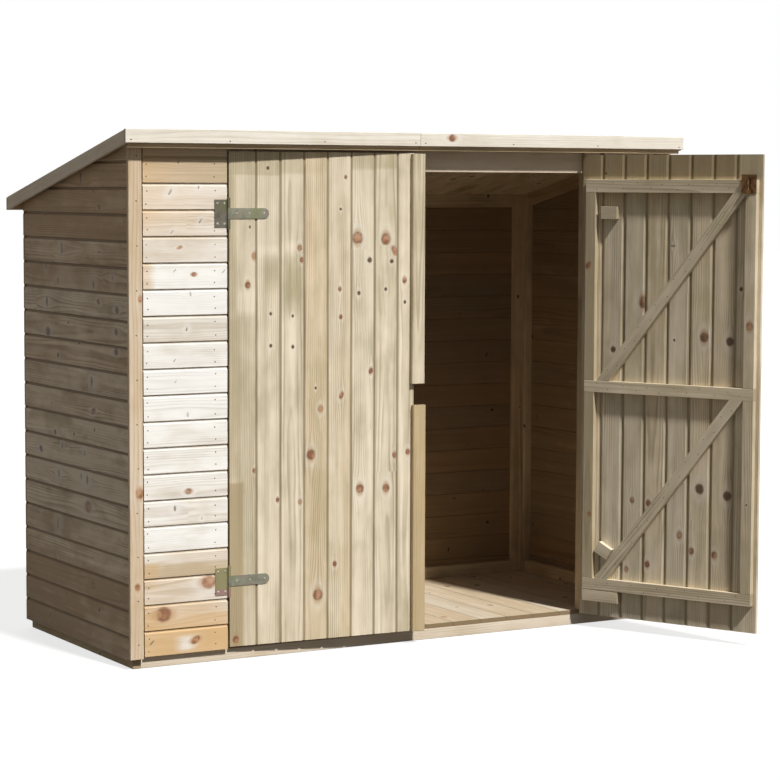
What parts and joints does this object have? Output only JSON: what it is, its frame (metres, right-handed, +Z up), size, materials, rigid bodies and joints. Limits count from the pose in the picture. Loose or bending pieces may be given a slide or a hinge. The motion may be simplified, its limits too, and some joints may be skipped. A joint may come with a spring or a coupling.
{
  "type": "timber bike store shed",
  "caption": "Pent-roofed timber bike store with shiplap walls, a boarded floor and a pair of framed, braced doors on tee hinges.",
  "frame": {"origin": "underside of the middle floor bearer, at the middle of the plan of the walls", "axes": "+X to the right along the front, +Y from the front to the back, +Z up"},
  "size_m": [2.247, 1.6961, 1.8],
  "materials": {
    "board_timber": "pressure-treated softwood boards, sawn and planed, pale cream in the sun",
    "frame_timber": "sawn softwood framing",
    "base_timber": "pressure-treated base timber, dull and darker",
    "roof_felt": "thin mineral-faced roofing felt",
    "galvanised_steel": "dull galvanised steel",
    "brass_bolt": "brown tarnished brass"
  },
  "bodies": {
    "root": {"back_fascia": "board_timber", "back_wall_boards": "board_timber", "back_wall_rails": "frame_timber", "back_wall_studs": "frame_timber", "barge_boards": "board_timber", "base_side_rails": "base_timber", "corner_strips": "board_timber", "door_header": "frame_timber", "eaves_battens_left": "frame_timber", "eaves_battens_right": "frame_timber", "floor_bearers": "base_timber", "floor_boards": "base_timber", "front_fascia_left": "board_timber", "front_fascia_right": "board_timber", "front_left_boards": "board_timber", "front_right_boards": "board_timber", "front_wall_rails": "frame_timber", "front_wall_studs": "frame_timber", "left_hinge_butts": "galvanised_steel", "left_wall_boards": "board_timber", "left_wall_rails": "frame_timber", "left_wall_studs": "frame_timber", "right_hinge_butts": "galvanised_steel", "right_wall_boards": "board_timber", "right_wall_rails": "frame_timber", "right_wall_studs": "frame_timber", "roof_boards_left": "board_timber", "roof_boards_right": "board_timber", "roof_felt": "roof_felt"},
    "left_door": {"left_door_boards": "board_timber", "left_door_braces": "board_timber", "left_door_cover_strips": "board_timber", "left_door_hinge_blocks": "board_timber", "left_door_hinge_straps": "galvanised_steel", "left_door_ledges": "board_timber", "left_door_stiles": "board_timber"},
    "right_door": {"right_door_boards": "board_timber", "right_door_bolt": "brass_bolt", "right_door_braces": "board_timber", "right_door_hinge_blocks": "board_timber", "right_door_hinge_straps": "galvanised_steel", "right_door_ledges": "board_timber", "right_door_packer": "board_timber", "right_door_stiles": "board_timber"}
  },
  "joints": [
    {"name": "left_door_hinge", "type": "hinge", "parent": "root", "child": "left_door", "pos_m": [-0.722, -0.4745, 0.9], "axis": [0, 0, 1], "range_deg": [-162.5, 2.5]},
    {"name": "right_door_hinge", "type": "hinge", "parent": "root", "child": "right_door", "pos_m": [0.722, -0.4745, 0.9], "axis": [0, 0, 1], "range_deg": [-115, 50]}
  ]
}
